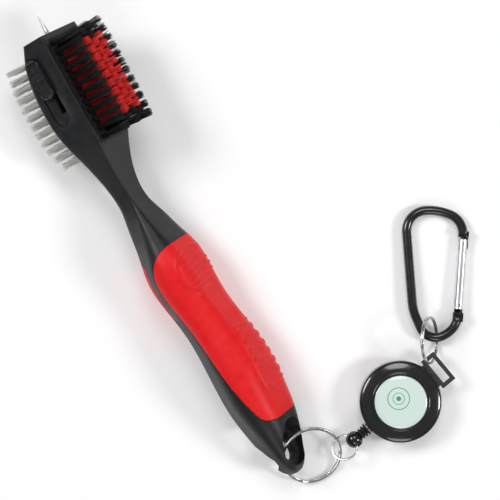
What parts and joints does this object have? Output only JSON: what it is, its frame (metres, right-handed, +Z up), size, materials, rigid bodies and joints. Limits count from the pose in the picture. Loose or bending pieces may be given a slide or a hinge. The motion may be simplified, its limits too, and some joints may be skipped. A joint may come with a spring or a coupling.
{
  "type": "golf club groove brush",
  "caption": "Two-sided golf club brush with nylon and wire bristles, a retractable groove spike on a thumb slider, and a retractor cord reel with a carabiner clip.",
  "frame": {"origin": "the middle of the overall box in plan, on the table that the set lies on", "axes": "+Y from the tail of the handle to its nose, +X towards the reel and carabiner, +Z up from the table"},
  "size_m": [0.1306, 0.214, 0.0405],
  "materials": {
    "frame_black": "satin moulded, charcoal",
    "grip_red": "soft overmould, satin",
    "nylon_red": "nylon filament",
    "nylon_black": "nylon filament",
    "wire_steel": "fine crimped wire, dull",
    "staple_steel": "flat wire",
    "slider_black": "satin moulded",
    "spike_steel": "ground point",
    "nickel": "nickel plated",
    "reel_black": "polished",
    "reel_inner": "moulded",
    "label_mint": "printed, glossy",
    "spring_steel": "strip and wire",
    "cord_black": "braided",
    "loop_grey": "moulded, dark grey",
    "carabiner_black": "gloss coated",
    "gate_aluminium": "turned, bright"
  },
  "bodies": {
    "handle": {"handle_frame": "frame_black", "grip_top": "grip_red", "grip_bottom": "grip_red", "nylon_block": "frame_black", "nylon_tufts_black": "nylon_black", "nylon_tufts_red": "nylon_red", "nylon_tuft_anchors": "staple_steel", "steel_block": "frame_black", "steel_tufts": "wire_steel", "steel_tufts_floor_row": "wire_steel", "steel_tuft_anchors": "staple_steel"},
    "spike": {"slider_button": "slider_black", "spike_carrier": "slider_black", "groove_spike": "spike_steel"},
    "large_ring": {"key_ring_large": "nickel"},
    "small_ring": {"key_ring_small": "nickel"},
    "cord_end": {"ball_end": "reel_black", "strain_relief": "reel_black", "pull_cord": "cord_black"},
    "reel": {"reel_back_shell": "reel_black", "reel_front_shell": "reel_black", "reel_spring": "spring_steel", "label_disc": "label_mint", "strap_loop": "loop_grey", "cord_exit_bush": "nickel"},
    "spool": {"reel_spool": "reel_inner", "reel_cord_winding": "cord_black"},
    "clip": {"clip_ring": "nickel"},
    "carabiner": {"carabiner_body": "carabiner_black", "gate_pin": "spike_steel"},
    "gate": {"carabiner_gate": "gate_aluminium", "gate_latch_pin": "spike_steel", "gate_spring": "spring_steel"}
  },
  "joints": [
    {"name": "spike_slide", "type": "slide", "parent": "handle", "child": "spike", "axis": [0, 0.9977, 0.0673], "range_m": [-0.0117, 0]},
    {"name": "large_ring_swing", "type": "hinge", "parent": "handle", "child": "large_ring", "pos_m": [-0.03871, -0.08442, 0.0098], "axis": [-0.7782, -0.5644, -0.2753], "range_deg": [-15, 12]},
    {"name": "small_ring_swing", "type": "hinge", "parent": "large_ring", "child": "small_ring", "pos_m": [-0.02036, -0.09538, 0.00446], "axis": [0.2773, 0.8635, 0.4212], "range_deg": [-15, 15]},
    {"name": "ball_swing", "type": "hinge", "parent": "small_ring", "child": "cord_end", "pos_m": [-0.01389, -0.09538, 0.0052], "axis": [-0.1714, 0.89, -0.4226], "range_deg": [-25, 25]},
    {"name": "cord_pull", "type": "slide", "parent": "cord_end", "child": "reel", "axis": [0.982, 0.1891, 0], "range_m": [0, 0.6], "stiffness_N_per_m": 1, "springref_m": -1, "deforming": ["pull_cord"]},
    {"name": "spool_spin", "type": "hinge", "parent": "reel", "child": "spool", "pos_m": [0.00899, -0.09097, 0], "axis": [0, 0, 1], "range_deg": [0, 3000]},
    {"name": "clip_ring_swing", "type": "hinge", "parent": "reel", "child": "clip", "pos_m": [0.0271, -0.08346, 0.0068], "axis": [-0.1891, 0.982, 0], "range_deg": [-12, 12]},
    {"name": "carabiner_swing", "type": "hinge", "parent": "clip", "child": "carabiner", "pos_m": [0.03286, -0.07573, 0.00374], "axis": [0.8377, -0.5461, 0], "range_deg": [-15, 15]},
    {"name": "gate_open", "type": "hinge", "parent": "carabiner", "child": "gate", "pos_m": [0.04718, -0.06935, 0.00324], "axis": [0.0207, 0.0317, 0.9993], "range_deg": [0, 25], "stiffness_Nm_per_rad": 0.02, "springref_deg": -34.38}
  ],
  "couplings": [
    {"joint": "spool_spin", "follows": "cord_pull", "rad_per_m": 86.207}
  ]
}
